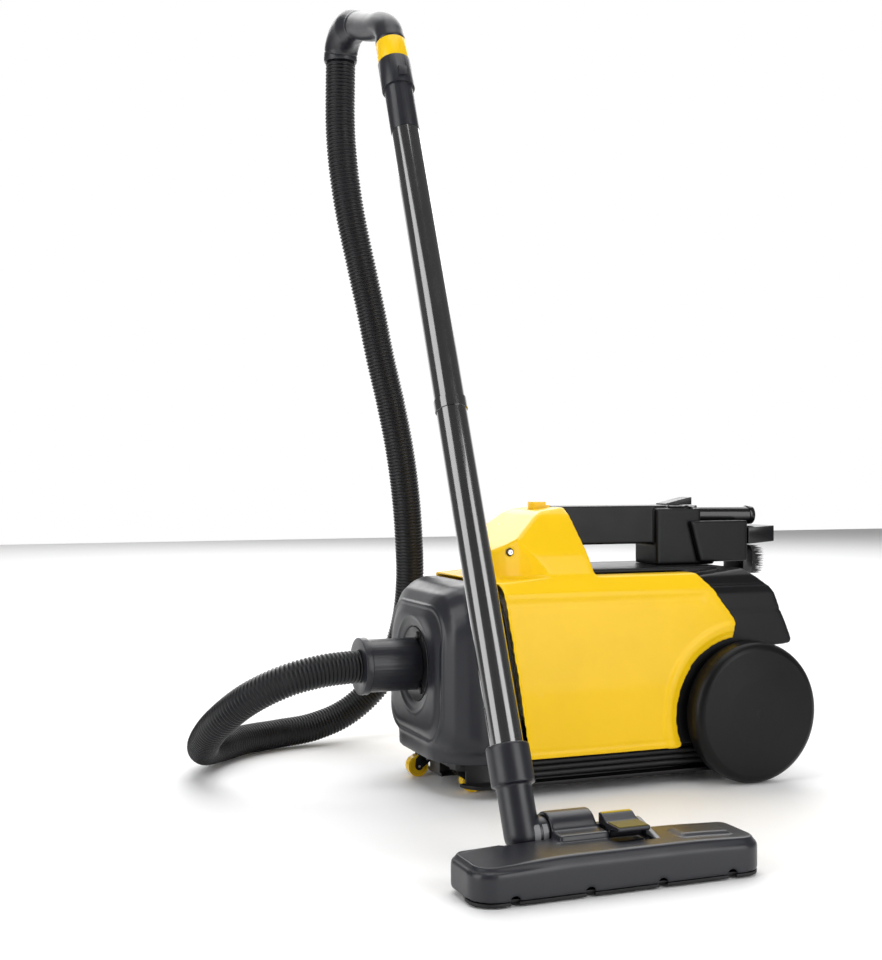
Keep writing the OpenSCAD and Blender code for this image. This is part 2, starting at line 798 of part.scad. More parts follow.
// A rounded plate that stands across Y.
module plate_xz(x0, x1, z0, z1, r, y0, y1) {
    translate([0, y1, 0]) rotate([90, 0, 0]) linear_extrude(y1 - y0) polygon(rounded(x0, x1, z0, z1, r));
}
module brush_bristles() on_canister() color(charcoal) {
    difference() {
        plate_xz(-22, 22, 241, 279, 11, 426, 447);
        plate_xz(-17, 17, 246, 274, 7, 425, 448);
    }
}

// ---- hose ----

// Centres of the hose's rings, from the canister's cuff to the handle, in the canister's frame.
hose_route = [
    [0, -104.5, 146], [0, -148, 143], [-7, -192, 132], [-29, -230, 110], [-67, -256, 78],
    [-116, -262, 48], [-166, -251, 28], [-214, -221, 20.5], [-252, -179, 20], [-274, -129, 20],
    [-284, -77, 24], [-288, -29, 40], [-286, 11, 72], [-278, 39, 116], [-268, 52, 168],
    [-256, 54, 224], [-243, 48, 282], [-231, 39, 342], [-219, 26, 404], [-210, 10, 466],
    [-202, -8, 528], [-194, -24, 590], [-188, -40, 650], [-185, -55, 712], [-183, -65, 772],
    [-183.6, -69, 830], [-183.6, -68.5, 907.7]];

function spline(p, i, t) =
    let (a = p[max(i - 1, 0)], b = p[i], c = p[i + 1], d = p[min(i + 2, len(p) - 1)])
    0.5 * (2 * b + (c - a) * t + (2 * a - 5 * b + 4 * c - d) * t * t + (3 * b - a - 3 * c + d) * t * t * t);
function unit(v) = v / norm(v);
hose_steps = 2;
ring_sides = 12;

// The line's direction at station i. Its first and last directions are given.
function dir_at(line, i, first, last) =
    unit(i == 0 ? first : i == len(line) - 1 ? last : line[i + 1] - line[i - 1]);
// The side vector of each ring, carried along the line without twist.
function sides(line, first, last, i = 0, done = []) =
    i == len(line) ? done :
    let (dir = dir_at(line, i, first, last),
        before = i == 0 ? [0.1, 0.2, 1] + (abs(dir[2]) > 0.9 ? [0, 3, 0] : [0, 0, 0]) : done[i - 1])
    sides(line, first, last, i + 1, concat(done, [unit(before - dir * (before * dir))]));
function ring(centre, dir, side, r) =
    let (up = cross(side, dir))
    [for (k = [0:ring_sides - 1]) centre + r * (side * cos(k * 360 / ring_sides) + up * sin(k * 360 / ring_sides))];

// A smooth line through the points, with the given number of steps between two of them.
function smooth_line(points, steps) = concat(
    [for (i = [0:len(points) - 2]) for (k = [0:steps - 1]) spline(points, i, k / steps)], [points[len(points) - 1]]);

// A radius is one number, or a list with one number for each station.
function radius_at(r, i) = is_list(r) ? r[i] : r;
// A tube along the line, open at both ends, or a solid bar where r_in is 0.
module swept_tube(line, r_out, r_in, first, last) {
    n = len(line);
    s = ring_sides;
    m = n * s;
    side = sides(line, first, last);
    outer = [for (i = [0:n - 1]) each ring(line[i], dir_at(line, i, first, last), side[i], radius_at(r_out, i))];
    inner = [for (i = [0:n - 1]) each ring(line[i], dir_at(line, i, first, last), side[i], radius_at(r_in, i))];
    skin = [for (i = [0:n - 2]) for (k = [0:s - 1]) each let (a = i * s + k, b = i * s + (k + 1) % s)
        [[a, b + s, a + s], [a, b, b + s]]];
    caps = [[for (k = [s - 1:-1:0]) k], [for (k = [0:s - 1]) m - s + k]];
    lining = [for (f = skin) [f[2] + m, f[1] + m, f[0] + m]];
    ends = [for (k = [0:s - 1]) each let (b = (k + 1) % s)
        [[k, m + k, m + b, b], [m - s + b, 2 * m - s + b, 2 * m - s + k, m - s + k]]];
    if (r_in == 0) {
        polyhedron(points = outer, faces = concat(skin, caps));
    } else {
        polyhedron(points = concat(outer, inner), faces = concat(skin, lining, ends));
    }
}

module hose() on_canister() color(rubber) {
    swept_tube(smooth_line(hose_route, hose_steps), hose_d / 2, hose_bore / 2, [0, -1, 0], [0, 0, 1]);
}

// ---- handle and wands ----

module neck_elbow() on_wand() color(charcoal) {
    difference() {
        union() {
            sphere(r = 17);
            cylinder(r = 17, h = 50);
            translate([0, 0, 46]) cylinder(r = 21, h = 38);
            rod_y(0, 0, 16, 0, 58);
        }
        translate([0, 0, 54]) cylinder(r = wand_d / 2 + fit, h = 40);
        cylinder(r = 13, h = 60);
        rod_y(0, 0, 13, -1, 60);
    }
}

module lower_wand() on_wand() color(black) {
    tube(wand_d / 2, wand_d / 2 - 1.2, 54.2, wand_joint);
    tube(wand_d / 2 + 1.2, wand_d / 2 - 0.1, wand_joint - 12, wand_joint);
}

module upper_wand() on_wand() color(black) {
    tube(wand_d / 2, wand_d / 2 - 1.2, wand_joint + 0.3, wand_top);
    tube(wand_d / 2 - 1.3, wand_d / 2 - 2.5, wand_joint - 36, wand_joint + 1);
    tube(wand_d / 2 - 1, wand_d / 2 - 2.5, wand_joint + 0.3, wand_joint + 3);
}

nose_top = 884;
ring_low = nose_top + 0.4;
ring_top = ring_low + 27;
module handle_nose() on_wand() color(charcoal) {
    difference() {
        union() {
            translate([0, 0, wand_top - 30]) cylinder(r = wand_d / 2 - 1.3, h = 31);
            translate([0, 0, wand_top + 0.3]) cylinder(r = 16.4, h = nose_top - wand_top - 0.3);
            translate([0, 0, nose_top - 38]) cylinder(r = 19, h = 38);
            translate([0, 0, nose_top]) cylinder(r = 14.5, h = 31);
            block([16, -5, nose_top - 32], [22, 5, nose_top - 20]);
        }
        translate([0, 0, wand_top - 31]) cylinder(r = 12.5, h = 200);
        // the bleed hole that the ring covers or opens
        translate([0, 0, nose_top + 14]) rotate([0, 90, 0]) cylinder(r = 5, h = 30);
    }
}

module suction_ring() on_wand() color(yellow) {
    difference() {
        translate([0, 0, ring_low]) cylinder(r = 18, h = ring_top - ring_low);
        translate([0, 0, ring_low - 1]) cylinder(r = 14.5 + fit, h = 40);
        translate([0, 0, nose_top + 14]) rotate([0, 90, 130]) cylinder(r = 5, h = 30);
    }
}

// The handle's centre line from the ring, standing upright in the X-Z plane.
grip_start = [-sin(wand_lean), 0, cos(wand_lean)];
grip_route = [4 * grip_start, [-10, 0, 18], [-32, 0, 31], [-60, 0, 39], [-90, 0, 48], [-120, 0, 59],
    [-148, 0, 66], [-172, 0, 65], [-189, 0, 57], [-197, 0, 44], [-198, 0, 34]];
grip_steps = 3;
grip_r = 17;
elbow_r = 22;
module on_handle() {
    on_wand() translate([0, 0, ring_top + 0.4]) rotate([0, wand_lean, 0]) children();
}
module hose_grip() color(charcoal) {
    path = concat([[0, 0, 0]], smooth_line(grip_route, grip_steps));
    last = len(path) - 1;
    swell = 17;         // the station where the tube begins to widen into the elbow
    outside = [for (i = [0:last]) i < 2 ? grip_r + 0.5 : grip_r + (elbow_r - grip_r) * min(max(i - swell, 0) / 3, 1)];
    bore = [for (i = [0:last]) i < 2 ? 15.1 : i > last - 2 ? 16.5 : 13];
    on_handle() swept_tube(path, outside, bore, grip_start, [0, 0, -1]);
}

// ---- floor head ----

// The head's outline from above, moved in by t. Its front corners are the rounder ones.
function head_outline(t) = concat(
    arc([head_w / 2 - 22, head_l / 2 - 22], 22 - t, 0, 90), arc([-head_w / 2 + 12, head_l / 2 - 12], 12 - t, 90, 180),
    arc([-head_w / 2 + 12, -head_l / 2 + 12], 12 - t, 180, 270),
    arc([head_w / 2 - 22, -head_l / 2 + 22], 22 - t, 270, 360));
skirt_z = 4.5;
notch_pitch = 73;
housing_y = -45.2;      // the face of the neck's housing that the neck turns beside

module head_form(t) {
    hull() {
        translate([0, 0, skirt_z]) linear_extrude(25.5 - t) polygon(head_outline(t));
        translate([-1, 0, head_h - 3 - t]) linear_extrude(3) polygon(head_outline(5 + t));
    }
}
module notches(z) {
    for (i = [-1.5:1:1.5]) {
        block([head_w / 2 - 12, i * notch_pitch - 4, z - 10], [head_w / 2 + 10, i * notch_pitch + 4, z]);
    }
}

module head_shell() on_head() color(charcoal) {
    difference() {
        union() {
            head_form(0);
            // housing over the neck's leg, with the pedal's seat beside it
            rod_y(neck_x, neck_z, 20, housing_y, 2);
            block([-46, housing_y, 18], [-8, 46, 44]);
            block([-62, housing_y, 18], [-44, 2, 38]);
        }
        translate([0, 0, -0.01]) difference() {
            head_form(wall);
            block([-50, -50, 14], [-4, 50, 60]);
        }
        // room for the neck beside the housing
        rod_y(neck_x, neck_z, 18, -95, housing_y);
        // bore for the leg, and its way into the head
        rod_y(neck_x, neck_z, 16 + fit, -50, -2);
        block([-40, -42, 21], [0, -6, 32]);
        // seat of the pedal
        block([-37, 5, 33], [6, 43, 50]);
        rod_y(-16, 40, 2, 1, 45);
        notches(skirt_z + 4);
        translate([0, 0, -1]) linear_extrude(skirt_z + 2.2) polygon(head_outline(wall + 0.2));
        // brush rails run under the housing
        both_brushes() block([-3, -122, 0], [3, 122, 17.6]);
    }
}
module both_brushes() {
    translate([22, 0, 0]) children();
    translate([-24, 0, 0]) children();
}

module head_sole() on_head() color(black) {
    difference() {
        translate([0, 0, 3]) linear_extrude(3) polygon(head_outline(wall + 0.6));
        plate(-12, 12, -112, 112, 6, 0, 10);
        both_brushes() block([-1.8, -118, 0], [1.8, 118, 10]);
    }
}

module floor_brushes() on_head() color(black) {
    both_brushes() {
        block([-2.6, -117, 6.4], [2.6, 117, 11]);
        block([-1.2, -116, 0.6], [1.2, 116, 7]);
    }
    for (y = [-80, 80]) {
        block([-24, y - 4, 8], [22, y + 4, 11]);
    }
}

module pedal() on_head() color(charcoal) {
    difference() {
        union() {
            block([-35, 7, 44.6], [4, 41, 49]);
            side_slab_in_head(-35, -19, 7, 41);
            rod_y(-16, 40, 4.5, 7, 41);
            block([-20.5, 7, 40], [-11.5, 41, 45]);
        }
        rod_y(-16, 40, 2 + fit, 0, 50);
    }
}
// The raised toe edge at the pedal's rear.
module side_slab_in_head(x0, x1, y0, y1) {
    translate([0, y1, 0]) rotate([90, 0, 0]) linear_extrude(y1 - y0)
        polygon([[x0, 48.9], [x1, 48.9], [x0 + 6, 55], [x0, 55]]);
}

module pedal_pin() on_head() color(steel) {
    rod_y(-16, 40, 2, 1, 45);
}

module head_bumper() on_head() color(rubber) {
    difference() {
        translate([0, 0, 1.2]) linear_extrude(skirt_z - 1.4) polygon(head_outline(0.4));
        translate([0, 0, 0]) linear_extrude(10) polygon(head_outline(2.9));
        block([-50, -200, 0], [6, 200, 10]);
        notches(10);
    }
}

module lint_strips() on_head() color("#7d2b2b") {
    for (x = [-17, 15]) {
        block([x - 2.5, -105, 1.5], [x + 2.5, 105, 2.9]);
    }
}

lower_housing();
main_shell();
rear_housing();
carry_grip();
tool_caddy();
shell_screws();
front_door();
door_hinge_pins();
door_seal();
door_latch();
latch_spring();
inlet_ring();
hose_cuff();
dust_bag();
bag_collar();
motor_filter();
filter_grille();
fan_shroud();
motor_frame();
stator();
armature();
fan();
bearings();
carbon_brushes();
motor_mounts();
exhaust_filter();
exhaust_grille();
power_switch();
switch_body();
power_cord();
cord_gland();
plug();
rear_axle();
wheel_left();
wheel_right();
axle_clips();
castor_fork_left();
castor_fork_right();
castor_wheel_left();
castor_wheel_right();
castor_pin_left();
castor_pin_right();
crevice_tool();
upholstery_nozzle();
dusting_brush();
brush_bristles();
hose();
hose_grip();
suction_ring();
handle_nose();
upper_wand();
lower_wand();
neck_elbow();
head_shell();
head_sole();
floor_brushes();
pedal();
pedal_pin();
head_bumper();
lint_strips();
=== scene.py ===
"""Looks of the canister vacuum cleaner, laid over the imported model.

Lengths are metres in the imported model's frame. can() and on_head() take millimetres from the
canister's zero line and from the floor head's centre; local() and head_local() give them.
"""
import json
import math
import random

import bmesh
import bpy
from mathutils import Matrix, Vector


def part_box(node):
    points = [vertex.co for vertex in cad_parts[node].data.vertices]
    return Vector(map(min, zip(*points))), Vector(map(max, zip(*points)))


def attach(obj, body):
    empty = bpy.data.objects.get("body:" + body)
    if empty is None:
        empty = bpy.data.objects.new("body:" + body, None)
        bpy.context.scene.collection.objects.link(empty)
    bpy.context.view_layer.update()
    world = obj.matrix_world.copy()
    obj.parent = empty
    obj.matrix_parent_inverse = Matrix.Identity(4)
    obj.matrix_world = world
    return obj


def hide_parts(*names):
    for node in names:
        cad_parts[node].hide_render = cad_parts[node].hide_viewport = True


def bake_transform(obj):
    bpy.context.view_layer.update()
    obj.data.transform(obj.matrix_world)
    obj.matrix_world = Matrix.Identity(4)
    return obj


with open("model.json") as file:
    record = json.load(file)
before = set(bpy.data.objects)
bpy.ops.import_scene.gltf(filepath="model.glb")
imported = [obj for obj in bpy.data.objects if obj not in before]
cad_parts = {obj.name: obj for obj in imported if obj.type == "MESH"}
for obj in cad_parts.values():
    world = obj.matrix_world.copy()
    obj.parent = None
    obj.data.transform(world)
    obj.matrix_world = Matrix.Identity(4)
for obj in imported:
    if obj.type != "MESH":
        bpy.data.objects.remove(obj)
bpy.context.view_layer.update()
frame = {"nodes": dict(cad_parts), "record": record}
NODES = frame["nodes"]
RECORD = frame["record"]
BODY_OF = {node: body for body, nodes in RECORD["behaviour"]["bodies"].items() for node in nodes}
SLOT_OF = {part["node"]: part["material_slot"] for part in RECORD["subparts"]}
COLOURS = {entry["slot"]: tuple(entry["base_color"][:3]) for entry in RECORD["materials"]}
random.seed(7)

# ---- places, worked out from the frame's own boxes ----


def middle(node):
    low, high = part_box(node)
    return (Vector(low) + Vector(high)) / 2


AXLE = middle("rear_axle")
AXLE_BEHIND_ZERO = 0.352
ZERO = Vector((AXLE.x, AXLE.y - AXLE_BEHIND_ZERO, 0))
HEAD = Vector((middle("head_sole").x, middle("head_sole").y, 0))
PIVOT = HEAD + Vector((-0.045, -0.067, 0.038))
LEAN = math.radians(23.5)
WAND_TURN = Matrix.Rotation(-LEAN, 3, "Y")


def can(x, y, z):
    """A point given in millimetres from the canister's zero line."""
    return ZERO + Vector((x, y, z)) / 1000


def local(point):
    """A point's place in millimetres from the canister's zero line."""
    return (Vector(point) - ZERO) * 1000


def on_head(x, y, z):
    """A point given in millimetres from the floor head's centre."""
    return HEAD + Vector((x, y, z)) / 1000


def head_local(point):
    """A point's place in millimetres from the floor head's centre."""
    return (Vector(point) - HEAD) * 1000


def on_wand(x, y, along):
    """A point in millimetres from the neck's pivot, along the leaning wand."""
    return PIVOT + WAND_TURN @ Vector((x, y, along)) / 1000


# ---- camera, the same place as the photograph's ----

LENS_MM = 51.0
SENSOR_MM = 36
CAMERA_PLACE = (1519.0, -598.3, 373.4)
CAMERA_LOOK = (-0.9304, 0.3665, -0.0054)


def add_camera():
    data = bpy.data.cameras.new("camera")
    data.lens = LENS_MM
    data.sensor_width = SENSOR_MM
    data.clip_end = 30
    camera = bpy.data.objects.new("camera", data)
    bpy.context.scene.collection.objects.link(camera)
    camera.location = can(*CAMERA_PLACE)
    camera.rotation_euler = Vector(CAMERA_LOOK).to_track_quat("-Z", "Y").to_euler()
    bpy.context.scene.camera = camera


add_camera()

# ---- node helpers for materials ----


def set_range(node, *numbers):
    for key, number in zip(("From Min", "From Max", "To Min", "To Max"), numbers):
        node.inputs[key].default_value = number


class Shade:
    """One procedural material under construction."""

    def __init__(self, name):
        self.material = bpy.data.materials.new(name)
        self.material.use_nodes = True
        self.tree = self.material.node_tree
        self.nodes = self.tree.nodes
        self.shader = self.nodes["Principled BSDF"]
        coords = self.nodes.new("ShaderNodeTexCoord")
        self.where = coords.outputs["Object"]

    def link(self, a, b):
        self.tree.links.new(a, b)

    def set(self, **values):
        """Constants on the shader's sockets, with _ for each blank in a socket's name."""
        for key, value in values.items():
            self.shader.inputs[key.replace("_", " ")].default_value = value

    def stretched(self, scale):
        node = self.nodes.new("ShaderNodeMapping")
        node.inputs["Scale"].default_value = scale
        self.link(self.where, node.inputs["Vector"])
        return node.outputs["Vector"]

    def noise(self, scale, detail=3.0, rough=0.55, where=None):
        node = self.nodes.new("ShaderNodeTexNoise")
        node.inputs["Scale"].default_value = scale
        node.inputs["Detail"].default_value = detail
        node.inputs["Roughness"].default_value = rough
        self.link(where or self.where, node.inputs["Vector"])
        return node.outputs["Fac"]

    def cells(self, scale):
        node = self.nodes.new("ShaderNodeTexVoronoi")
        node.inputs["Scale"].default_value = scale
        self.link(self.where, node.inputs["Vector"])
        return node.outputs["Distance"]

    def remap(self, value, low, high, out_low, out_high):
        node = self.nodes.new("ShaderNodeMapRange")
        set_range(node, low, high, out_low, out_high)
        self.link(value, node.inputs["Value"])
        return node.outputs["Result"]

    def times(self, value, factor):
        node = self.nodes.new("ShaderNodeMath")
        node.operation = "MULTIPLY"
        node.inputs[1].default_value = factor
        self.link(value, node.inputs[0])
        return node.outputs[0]

    def blend(self, factor, a, b):
        node = self.nodes.new("ShaderNodeMix")
        node.data_type = "RGBA"
        self.link(factor, node.inputs["Factor"])
        for key, value in (("A", a), ("B", b)):
            socket = [s for s in node.inputs if s.name == key and s.type == "RGBA"][0]
            if isinstance(value, (tuple, list)):
                socket.default_value = (*value[:3], 1)
            else:
                self.link(value, socket)
        return [s for s in node.outputs if s.type == "RGBA"][0]

    def bumps(self, *layers):
        """Each layer is (height output, distance in metres, strength)."""
        normal = None
        for height, distance, strength in layers:
            node = self.nodes.new("ShaderNodeBump")
            node.inputs["Distance"].default_value = distance
            node.inputs["Strength"].default_value = strength
            self.link(height, node.inputs["Height"])
            if normal:
                self.link(normal, node.inputs["Normal"])
            normal = node.outputs["Normal"]
        self.link(normal, self.shader.inputs["Normal"])

    def colour(self, output):
        self.link(output, self.shader.inputs["Base Color"])

    def roughness(self, output):
        self.link(output, self.shader.inputs["Roughness"])


def scaled(colour, k):
    return tuple(min(c * k, 1) for c in colour)


# ---- kinds of material ----


def moulded(name, colour, rough, grain=0.00004, spread=0.12, coat=0.0, wear=0.03, gleam=0.35):
    """Injection-moulded plastic: slow colour drift, fine grain and paler scuffs."""
    s = Shade(name)
    drift = s.remap(s.noise(9, 4), 0.3, 0.7, 0, 1)
    tone = s.blend(drift, scaled(colour, 1 - spread), scaled(colour, 1 + spread))
    scuffs = s.remap(s.noise(60, 6, 0.7, s.stretched((1, 2.2, 0.5))), 0.60, 0.78, 0, 1)
    scuff_colour = tuple(c * 0.86 + 0.06 for c in colour)
    s.colour(s.blend(s.times(scuffs, wear), tone, scuff_colour))
    s.roughness(s.remap(s.noise(34, 5), 0.25, 0.75, rough * 0.86, rough * 1.16))
    s.set(IOR=1.48, Coat_Weight=coat, Coat_Roughness=0.08, Specular_IOR_Level=gleam)
    s.bumps((s.cells(2600), grain, 0.35), (s.noise(14, 2), 0.0004, 0.08))
    return s.material


def metal(name, colour, rough, along=(1, 1, 14)):
    """Bare metal with fine lines across the stretched axis."""
    s = Shade(name)
    lines = s.noise(420, 4, 0.6, s.stretched(along))
    s.colour(s.blend(s.noise(30, 5), scaled(colour, 0.82), scaled(colour, 1.1)))
    s.roughness(s.remap(lines, 0.2, 0.8, rough * 0.7, rough * 1.4))
    s.set(Metallic=1.0)
    s.bumps((lines, 0.00002, 0.4))
    return s.material


def lacquered(name, colour):
    """Gloss lacquer on a steel tube, with slight waves along the tube and fine dust."""
    s = Shade(name)
    dust = s.remap(s.noise(900, 3), 0.62, 0.8, 0, 0.25)
    s.colour(s.blend(dust, colour, scaled(colour, 3)))
    s.roughness(s.remap(s.noise(22, 4), 0.3, 0.7, 0.13, 0.22))
    s.set(IOR=1.9, Coat_Weight=1.0, Coat_IOR=1.7, Coat_Roughness=0.05)
    s.bumps((s.noise(18, 2), 0.0003, 0.10), (s.noise(300, 2), 0.00002, 0.3))
    return s.material


def vinyl(name, colour):
    """Satin hose vinyl with patches of dust; the ribs are in the mesh."""
    s = Shade(name)
    dust = s.remap(s.noise(70, 5), 0.5, 0.8, 0, 0.5)
    s.colour(s.blend(dust, colour, scaled(colour, 2.2)))
    s.roughness(s.remap(s.noise(45, 4), 0.3, 0.7, 0.30, 0.46))
    s.set(IOR=1.5, Specular_IOR_Level=0.3)
    s.bumps((s.noise(500, 3), 0.00008, 0.4), (s.noise(30, 2), 0.0005, 0.12))
    return s.material


def soft(name, colour, rough, scale, depth, sheen=0.0):
    """Paper, card, foam, cloth and bristle: fibres or pores at the given scale."""
    s = Shade(name)
    fibres = s.noise(scale, 6, 0.7)
    pores = s.cells(scale * 0.8)
    tone = s.remap(fibres, 0.3, 0.7, 0, 1)
    s.colour(s.blend(tone, scaled(colour, 0.72), scaled(colour, 1.2)))
    s.roughness(s.remap(fibres, 0.2, 0.8, rough * 0.9, min(rough * 1.1, 1)))
    s.set(Sheen_Weight=sheen, Sheen_Roughness=0.5)
    s.bumps((pores, depth, 0.7), (fibres, depth * 0.6, 0.6))
    return s.material


def wound(name, colour):
    """Enamelled wire, wound in close turns."""
    s = Shade(name)
    turns = s.nodes.new("ShaderNodeTexWave")
    turns.inputs["Scale"].default_value = 420
    turns.inputs["Distortion"].default_value = 1.5
    s.link(s.where, turns.inputs["Vector"])
    s.colour(s.blend(turns.outputs["Fac"], scaled(colour, 0.55), scaled(colour, 1.15)))
    s.roughness(s.remap(s.noise(80, 3), 0.2, 0.8, 0.25, 0.5))
    s.set(Metallic=0.7)
    s.bumps((turns.outputs["Fac"], 0.0004, 0.8))
    return s.material


# ---- the materials ----

BLACK = (0.0045, 0.0045, 0.0055)
WHEEL_BLACK = (0.0045, 0.0045, 0.005)
TOOL_BLACK = (0.004, 0.004, 0.005)
RUBBER_BLACK = (0.008, 0.008, 0.009)
HOSE_BLACK = (0.0055, 0.0055, 0.007)
LACQUER_BLACK = (0.002, 0.002, 0.0026)
CHARCOAL = (0.0125, 0.0130, 0.0175)
YELLOW = (0.88, 0.545, 0.008)
PEDAL_OLIVE = (0.105, 0.082, 0.004)
PEDAL_YELLOW = (0.46, 0.33, 0.008)
PALE_GREY = (0.20, 0.20, 0.21)
CARBON = (0.03, 0.03, 0.033)
LINT_RED = (0.25, 0.03, 0.04)
STEEL = (0.60, 0.60, 0.61)
ZINC = (0.50, 0.51, 0.53)
ALUMINIUM = (0.74, 0.75, 0.76)

LOOKS = {
    "black_moulding": (moulded, BLACK, dict(rough=0.34, grain=0.00005, gleam=0.25)),
    "yellow_gloss": (moulded, YELLOW, dict(rough=0.24, grain=0.00001, spread=0.04, coat=0.04,
                                           wear=0.01, gleam=0.22)),
    "charcoal_satin": (moulded, CHARCOAL, dict(rough=0.33, spread=0.08, gleam=0.5)),
    "inlet_black": (moulded, BLACK, dict(rough=0.3)),
    "wheel_black": (moulded, WHEEL_BLACK, dict(rough=0.34, wear=0.04, gleam=0.2)),
    "steel": (metal, STEEL, dict(rough=0.3)),
    "zinc_sheet": (metal, ZINC, dict(rough=0.42, along=(1, 1, 1))),
    "fan_aluminium": (metal, ALUMINIUM, dict(rough=0.35, along=(8, 1, 1))),
    "copper_winding": (wound, COLOURS["copper_winding"], {}),
    "carbon": (soft, CARBON, dict(rough=0.6, scale=900, depth=0.00008)),
    "soft_rubber": (moulded, RUBBER_BLACK, dict(rough=0.5, grain=0.00008, wear=0.06)),
    "bag_paper": (soft, COLOURS["bag_paper"], dict(rough=0.85, scale=260, depth=0.0005)),
    "bag_card": (soft, COLOURS["bag_card"], dict(rough=0.85, scale=500, depth=0.0002)),
    "filter_foam": (soft, COLOURS["filter_foam"], dict(rough=0.95, scale=420, depth=0.0012)),
    "tool_gloss": (moulded, TOOL_BLACK, dict(rough=0.2, grain=0.00001, coat=0.3)),
    "bristle": (soft, RUBBER_BLACK, dict(rough=0.5, scale=800, depth=0.0002)),
    "lint_cloth": (soft, LINT_RED, dict(rough=0.95, scale=900, depth=0.0005, sheen=0.6)),
    "hose_vinyl": (vinyl, HOSE_BLACK, {}),
    "wand_lacquer": (lacquered, LACQUER_BLACK, {}),
    "pedal_olive": (moulded, PEDAL_OLIVE, dict(rough=0.42, spread=0.1)),
    "pedal_yellow": (moulded, PEDAL_YELLOW, dict(rough=0.35, spread=0.06)),
    "pale_grey": (moulded, PALE_GREY, dict(rough=0.36, spread=0.08)),
}
MATERIALS = {name: make(name, colour, **values) for name, (make, colour, values) in LOOKS.items()}

for node_name, node_object in NODES.items():
    node_object.data.materials.clear()
    node_object.data.materials.append(MATERIALS[SLOT_OF[node_name]])

# ---- mesh helpers ----

WELD_DISTANCE = 0.00001


def add_object(name, mesh, slot_name, body):
    piece = bpy.data.objects.new(name, mesh)
    bpy.context.scene.collection.objects.link(piece)
    mesh.materials.clear()
    mesh.materials.append(MATERIALS[slot_name])
    if body:
        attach(piece, body)
    return piece


def smooth(mesh, angle=None):
    for polygon in mesh.polygons:
        polygon.use_smooth = True
    if angle is not None:
        mesh.set_sharp_from_angle(angle=math.radians(angle))


def ease(x, low, high):
    """0 below low, 1 above high, smooth between."""
    t = min(max((x - low) / (high - low), 0), 1)
    return t * t * (3 - 2 * t)


def ridge(x, centre, half):
    """A smooth bump of height 1 at centre that ends half away on both sides."""
    return 1 - ease(abs(x - centre), 0, half)


def spline(points, steps):
    """A smooth line through the points, with steps stations between two of them."""
    points = [Vector(p) for p in points]
    line = []
    for i in range(len(points) - 1):
        a, b = points[max(i - 1, 0)], points[i]
        c, d = points[i + 1], points[min(i + 2, len(points) - 1)]
        for k in range(steps):
            t = k / steps
            line.append(0.5 * (2 * b + (c - a) * t + (2 * a - 5 * b + 4 * c - d) * t * t
                               + (3 * b - a - 3 * c + d) * t ** 3))
    line.append(points[-1])
    return line


def line_length(line):
    return sum((b - a).length for a, b in zip(line, line[1:]))


def even(line, pitch):
    """The line's points, spaced about pitch apart."""
    total = line_length(line)
    count = max(int(round(total / pitch)), 2)
    step = total / count
    out = [line[0].copy()]
    i, walked = 0, 0.0
    for k in range(1, count):
        target = k * step
        while walked + (line[i + 1] - line[i]).length < target:
            walked += (line[i + 1] - line[i]).length
            i += 1
        span = (line[i + 1] - line[i]).length
        out.append(line[i].lerp(line[i + 1], (target - walked) / span))
    out.append(line[-1].copy())
    return out


def bridge(bm, a, b):
    """Quads between two rings of as many points."""
    for k in range(len(a)):
        j = (k + 1) % len(a)
        bm.faces.new((a[k], a[j], b[j], b[k]))


def outwards(bm):
    bmesh.ops.recalc_face_normals(bm, faces=bm.faces[:])


def finished(name, bm):
    mesh = bpy.data.meshes.new(name)
    bm.to_mesh(mesh)
    bm.free()
    return mesh


def tube_mesh(name, line, radius, sides, first=None, last=None, inner=None):
    """A tube along the line, closed at its ends or lined.

    radius(distance) gives its outline. first and last are the directions at its ends.
    inner is the radius of a lining, which leaves the tube open.
    """
    bm = bmesh.new()
    side = None
    walked = 0.0
    rings = []
    linings = []
    for i, point in enumerate(line):
        if i:
            walked += (point - line[i - 1]).length
        ahead = line[min(i + 1, len(line) - 1)] - line[max(i - 1, 0)]
        if i == 0 and first:
            ahead = Vector(first)
        if i == len(line) - 1 and last:
            ahead = Vector(last)
        ahead.normalize()
        if side is None:
            side = Vector((0.1, 0.2, 1)) if abs(ahead.z) < 0.9 else Vector((0.1, 3.2, 1))
        side = (side - ahead * side.dot(ahead)).normalized()
        up = side.cross(ahead)
        ring = []
        for k in range(sides):
            a = 2 * math.pi * k / sides
            outward = side * math.cos(a) + up * math.sin(a)
            ring.append(bm.verts.new(point + outward * radius(walked)))
        rings.append(ring)
        if inner:
            linings.append([bm.verts.new(point + (v.co - point).normalized() * inner)
                            for v in ring])
    for a, b in zip(rings, rings[1:]):
        bridge(bm, a, b)
    for a, b in zip(linings, linings[1:]):
        bridge(bm, b, a)
    if inner:
        bridge(bm, rings[0], linings[0])
        bridge(bm, rings[-1], linings[-1])
    else:
        bm.faces.new(rings[0])
        bm.faces.new(rings[-1])
    outwards(bm)
    return finished(name, bm)


def evaluated(piece):
    graph = bpy.context.evaluated_depsgraph_get()
    graph.update()
    return bpy.data.meshes.new_from_object(piece.evaluated_get(graph))


